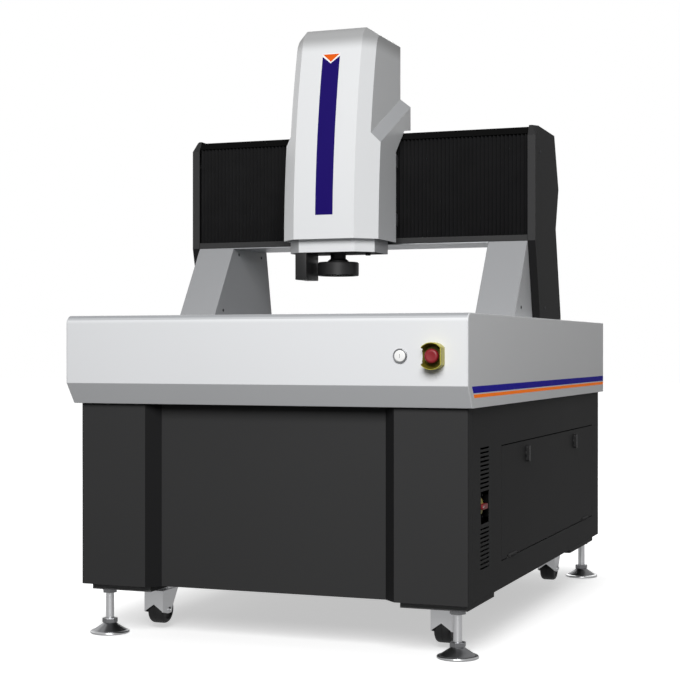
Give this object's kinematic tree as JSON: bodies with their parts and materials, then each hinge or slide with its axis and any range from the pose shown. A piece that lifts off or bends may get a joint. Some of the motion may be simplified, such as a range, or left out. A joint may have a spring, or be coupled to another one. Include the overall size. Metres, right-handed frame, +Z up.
{
  "type": "vision measuring machine",
  "caption": "Fixed-bridge optical measuring machine with glass stage, camera head on a bellows-covered beam, cabinet, levelling feet and casters.",
  "frame": {"origin": "on the floor under the machine, midway across it and midway between the tip of the stop button's collar and the back apron", "axes": "+X to the machine's right seen from the front, +Y to the back, +Z up"},
  "size_m": [1.1, 1.6802, 1.676],
  "materials": {
    "paint_black": "satin powder coat",
    "paint_white": "satin",
    "paint_grey": "satin",
    "paint_dark": "fine texture",
    "frame_steel": "matt",
    "granite": "lapped",
    "aluminium": "anodised",
    "steel": "ground",
    "chrome": "polished",
    "glass": "clear",
    "black_plastic": "matt",
    "bellows_black": "matt",
    "wheel_black": "matt",
    "white_plastic": "gloss",
    "red_plastic": "satin",
    "yellow_plastic": "satin",
    "head_white": "satin",
    "head_grey": "satin",
    "leg_paint": "painted casting"
  },
  "bodies": {
    "base": {"base_frame": "frame_steel", "foot_locknuts": "chrome", "caster_plates": "chrome", "corner_cover_right": "paint_black", "corner_cover_left": "paint_black", "front_panel": "paint_black", "side_panel_right": "paint_black", "side_panel_left": "paint_black", "rear_panel": "paint_black", "switch_plate": "yellow_plastic", "controller_box": "aluminium", "granite_base": "granite", "apron_front": "paint_white", "apron_right": "paint_grey", "apron_left": "paint_grey", "apron_rear": "paint_grey", "deck_plate": "paint_grey", "y_rails": "steel", "leg_right": "leg_paint", "leg_left": "leg_paint", "leg_cover_right": "paint_dark", "leg_cover_left": "paint_dark", "cross_beam": "granite", "beam_guides": "paint_dark", "beam_sill": "aluminium", "beam_rear_cover": "paint_dark", "x_rails": "steel", "bellows_right": "bellows_black", "bellows_left": "bellows_black", "power_button_bezel": "chrome", "estop_guard": "yellow_plastic"},
    "foot_fl": {"foot_fl": "chrome"},
    "foot_fr": {"foot_fr": "chrome"},
    "foot_rl": {"foot_rl": "chrome"},
    "foot_rr": {"foot_rr": "chrome"},
    "caster_fork_fl": {"caster_fork_fl": "chrome"},
    "caster_wheel_fl": {"caster_wheel_fl": "wheel_black"},
    "caster_fork_fr": {"caster_fork_fr": "chrome"},
    "caster_wheel_fr": {"caster_wheel_fr": "wheel_black"},
    "caster_fork_rl": {"caster_fork_rl": "chrome"},
    "caster_wheel_rl": {"caster_wheel_rl": "wheel_black"},
    "caster_fork_rr": {"caster_fork_rr": "chrome"},
    "caster_wheel_rr": {"caster_wheel_rr": "wheel_black"},
    "y_stage": {"stage_plate": "aluminium", "stage_glass": "glass"},
    "y_screw": {"y_screw": "steel"},
    "x_head": {"x_saddle": "aluminium", "head_cover": "head_white"},
    "z_head": {"z_carriage": "aluminium", "z_skirt": "head_grey", "zoom_lens": "black_plastic", "ring_light": "black_plastic", "laser_sensor": "black_plastic"},
    "door": {"door_right": "paint_black"},
    "latch_front": {"latch_front": "black_plastic"},
    "latch_rear": {"latch_rear": "black_plastic"},
    "main_switch": {"switch_knob": "red_plastic"},
    "power_button": {"power_button_cap": "white_plastic"},
    "estop_stem": {"estop_stem": "black_plastic"},
    "estop_head": {"estop_head": "red_plastic"}
  },
  "joints": [
    {"name": "foot_fl_height", "type": "slide", "parent": "base", "child": "foot_fl", "axis": [0, 0, 1], "range_m": [-0.02, 0.03]},
    {"name": "foot_fr_height", "type": "slide", "parent": "base", "child": "foot_fr", "axis": [0, 0, 1], "range_m": [-0.02, 0.03]},
    {"name": "foot_rl_height", "type": "slide", "parent": "base", "child": "foot_rl", "axis": [0, 0, 1], "range_m": [-0.02, 0.03]},
    {"name": "foot_rr_height", "type": "slide", "parent": "base", "child": "foot_rr", "axis": [0, 0, 1], "range_m": [-0.02, 0.03]},
    {"name": "caster_fl_swivel", "type": "hinge", "parent": "base", "child": "caster_fork_fl", "pos_m": [-0.386, -0.55585, 0.11], "axis": [0, 0, 1], "continuous": true},
    {"name": "caster_fl_spin", "type": "hinge", "parent": "caster_fork_fl", "child": "caster_wheel_fl", "pos_m": [-0.386, -0.58385, 0.054], "axis": [1, 0, 0], "continuous": true},
    {"name": "caster_fr_swivel", "type": "hinge", "parent": "base", "child": "caster_fork_fr", "pos_m": [0.427, -0.55585, 0.11], "axis": [0, 0, 1], "continuous": true},
    {"name": "caster_fr_spin", "type": "hinge", "parent": "caster_fork_fr", "child": "caster_wheel_fr", "pos_m": [0.427, -0.58385, 0.054], "axis": [1, 0, 0], "continuous": true},
    {"name": "caster_rl_swivel", "type": "hinge", "parent": "base", "child": "caster_fork_rl", "pos_m": [-0.386, 0.59615, 0.11], "axis": [0, 0, 1], "continuous": true},
    {"name": "caster_rl_spin", "type": "hinge", "parent": "caster_fork_rl", "child": "caster_wheel_rl", "pos_m": [-0.386, 0.56815, 0.054], "axis": [1, 0, 0], "continuous": true},
    {"name": "caster_rr_swivel", "type": "hinge", "parent": "base", "child": "caster_fork_rr", "pos_m": [0.427, 0.59615, 0.11], "axis": [0, 0, 1], "continuous": true},
    {"name": "caster_rr_spin", "type": "hinge", "parent": "caster_fork_rr", "child": "caster_wheel_rr", "pos_m": [0.427, 0.56815, 0.054], "axis": [1, 0, 0], "continuous": true},
    {"name": "y_travel", "type": "slide", "parent": "base", "child": "y_stage", "axis": [0, 1, 0], "range_m": [-0.2, 0.2]},
    {"name": "y_screw_spin", "type": "hinge", "parent": "base", "child": "y_screw", "pos_m": [0.11, -0.23385, 0.812], "axis": [0, 1, 0], "range_deg": [-7300, 7300]},
    {"name": "x_travel", "type": "slide", "parent": "base", "child": "x_head", "axis": [1, 0, 0], "range_m": [-0.25, 0.25], "deforming": ["bellows_left", "bellows_right"]},
    {"name": "z_travel", "type": "slide", "parent": "x_head", "child": "z_head", "axis": [0, 0, 1], "range_m": [-0.085, 0.115]},
    {"name": "door_tilt", "type": "hinge", "parent": "base", "child": "door", "pos_m": [0.5345, 0.14465, 0.216], "axis": [0, 1, 0], "range_deg": [0, 90]},
    {"name": "latch_front_turn", "type": "hinge", "parent": "door", "child": "latch_front", "pos_m": [0.5345, -0.17035, 0.475], "axis": [1, 0, 0], "range_deg": [0, 90]},
    {"name": "latch_rear_turn", "type": "hinge", "parent": "door", "child": "latch_rear", "pos_m": [0.5345, 0.44565, 0.475], "axis": [1, 0, 0], "range_deg": [0, 90]},
    {"name": "main_switch_turn", "type": "hinge", "parent": "base", "child": "main_switch", "pos_m": [0.5345, -0.60385, 0.369], "axis": [1, 0, 0], "range_deg": [0, 90]},
    {"name": "power_button_push", "type": "slide", "parent": "base", "child": "power_button", "axis": [0, 1, 0], "range_m": [0, 0.002], "stiffness_N_per_m": 400, "springref_m": -0.002},
    {"name": "estop_push", "type": "slide", "parent": "base", "child": "estop_stem", "axis": [0, 1, 0], "range_m": [0, 0.004], "stiffness_N_per_m": 800, "springref_m": -0.003},
    {"name": "estop_twist", "type": "hinge", "parent": "estop_stem", "child": "estop_head", "pos_m": [0.466, -0.82685, 0.7475], "axis": [0, 1, 0], "range_deg": [0, 45], "stiffness_Nm_per_rad": 0.1}
  ],
  "couplings": [
    {"joint": "y_screw_spin", "follows": "y_travel", "rad_per_m": -628.32}
  ]
}
